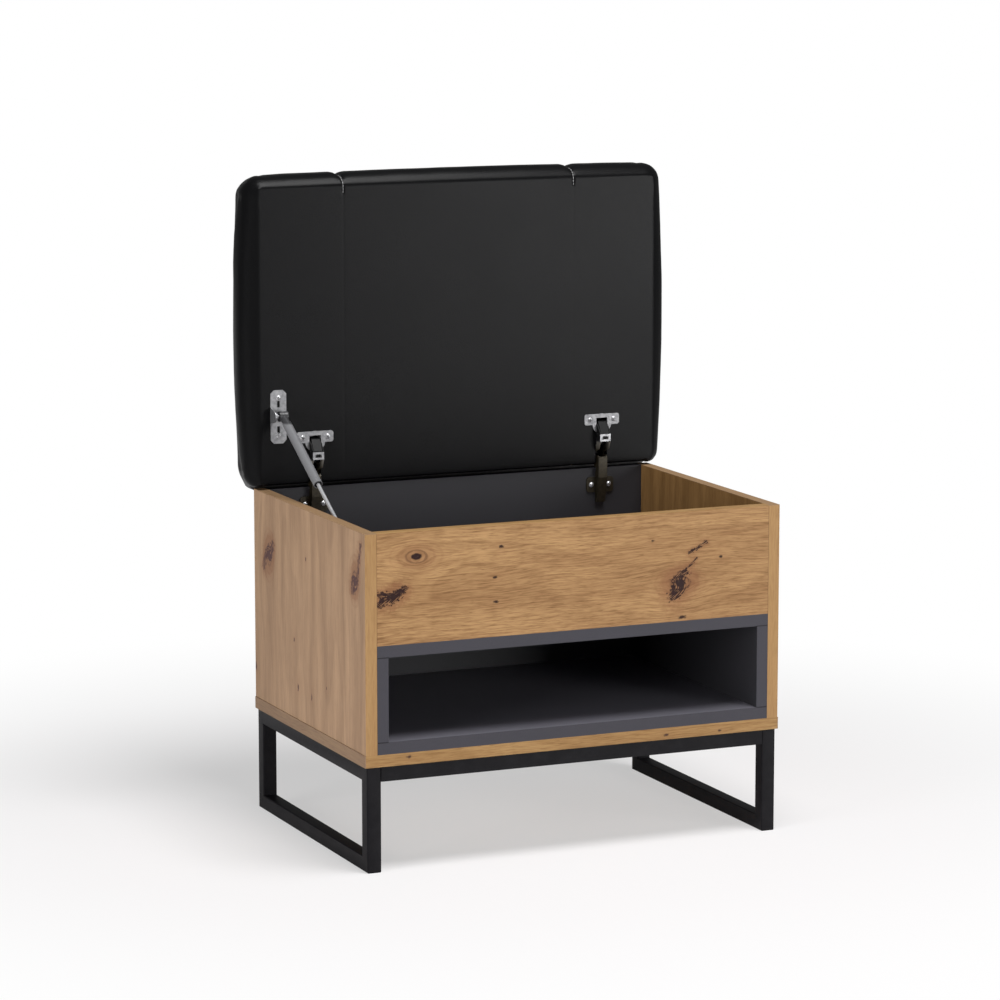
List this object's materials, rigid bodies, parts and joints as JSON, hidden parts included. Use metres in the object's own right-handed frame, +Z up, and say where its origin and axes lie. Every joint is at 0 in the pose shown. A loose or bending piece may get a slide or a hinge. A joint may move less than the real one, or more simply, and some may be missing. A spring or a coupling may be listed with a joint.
{
  "type": "storage bench",
  "caption": "Storage bench with an open niche, a chest under a padded lid hinged at the back and held by a gas strut, and a tube frame with two loop legs.",
  "frame": {"origin": "on the floor, under the centre of the bench with its lid open", "axes": "+X to the right along the width, +Y from the front to the back, +Z up; the lid stands open along +Z"},
  "size_m": [0.634, 0.4824, 0.882],
  "materials": {
    "oak_laminate": "matte",
    "anthracite_laminate": "matte",
    "black_powder_coat": "satin",
    "black_leatherette": "satin",
    "foam": "matte",
    "particle_board": "matte",
    "beech": "matte",
    "zinc_steel": "satin",
    "dark_bronze_steel": "satin",
    "black_plastic": "matte",
    "grey_paint": "satin",
    "polished_steel": "polished"
  },
  "bodies": {
    "cabinet": {"back_panel": "anthracite_laminate", "bottom_panel": "oak_laminate", "cam_bolts": "zinc_steel", "cam_discs": "zinc_steel", "carcass_screws": "zinc_steel", "chest_floor": "anthracite_laminate", "dowels": "beech", "edge_bands_dark": "anthracite_laminate", "edge_bands_oak": "oak_laminate", "floor_screws": "zinc_steel", "frame_screws": "zinc_steel", "front_cross_rail": "black_powder_coat", "front_panel": "oak_laminate", "hinge_arm_left": "dark_bronze_steel", "hinge_arm_right": "dark_bronze_steel", "hinge_base_left": "dark_bronze_steel", "hinge_base_right": "dark_bronze_steel", "hinge_pin_left": "zinc_steel", "hinge_pin_right": "zinc_steel", "hinge_screws_cabinet": "zinc_steel", "left_floor_rail": "black_powder_coat", "left_front_post": "black_powder_coat", "left_rear_post": "black_powder_coat", "left_top_rail": "black_powder_coat", "niche_floor": "anthracite_laminate", "niche_side_left": "anthracite_laminate", "niche_side_right": "anthracite_laminate", "rear_cross_rail": "black_powder_coat", "right_floor_rail": "black_powder_coat", "right_front_post": "black_powder_coat", "right_rear_post": "black_powder_coat", "right_top_rail": "black_powder_coat", "side_panel_left": "oak_laminate", "side_panel_right": "oak_laminate", "strut_side_bracket": "zinc_steel", "strut_side_screws": "zinc_steel", "strut_side_stud": "zinc_steel"},
    "lid": {"cover_staples": "zinc_steel", "hinge_cup_left": "zinc_steel", "hinge_cup_right": "zinc_steel", "hinge_flange_left": "zinc_steel", "hinge_flange_right": "zinc_steel", "hinge_lid_arm_left": "zinc_steel", "hinge_lid_arm_right": "zinc_steel", "hinge_link_left": "black_plastic", "hinge_link_right": "black_plastic", "hinge_screws_lid": "zinc_steel", "lid_board": "particle_board", "lid_cover": "black_leatherette", "lid_foam": "foam", "strut_bracket_screws": "zinc_steel", "strut_lid_bracket": "zinc_steel", "strut_lid_stud": "zinc_steel"},
    "strut_tube": {"strut_cylinder": "grey_paint", "strut_guide": "black_plastic", "strut_upper_socket": "black_plastic"},
    "strut_rod": {"strut_lower_socket": "black_plastic", "strut_piston": "black_plastic", "strut_rod": "polished_steel"}
  },
  "joints": [
    {"name": "lid_hinge", "type": "hinge", "parent": "cabinet", "child": "lid", "pos_m": [0, 0.1618, 0.462], "axis": [1, 0, 0], "range_deg": [0, 90]},
    {"name": "strut_pivot", "type": "hinge", "parent": "lid", "child": "strut_tube", "pos_m": [-0.2695, 0.1358, 0.552], "axis": [1, 0, 0], "range_deg": [-114, 0]},
    {"name": "strut_slide", "type": "slide", "parent": "strut_tube", "child": "strut_rod", "axis": [0, -0.869, -0.4949], "range_m": [-0.099, 0]}
  ],
  "couplings": [
    {"joint": "strut_pivot", "follows": "lid_hinge", "ratio": -1.2617},
    {"joint": "strut_slide", "follows": "lid_hinge", "m_per_rad": -0.062774}
  ]
}
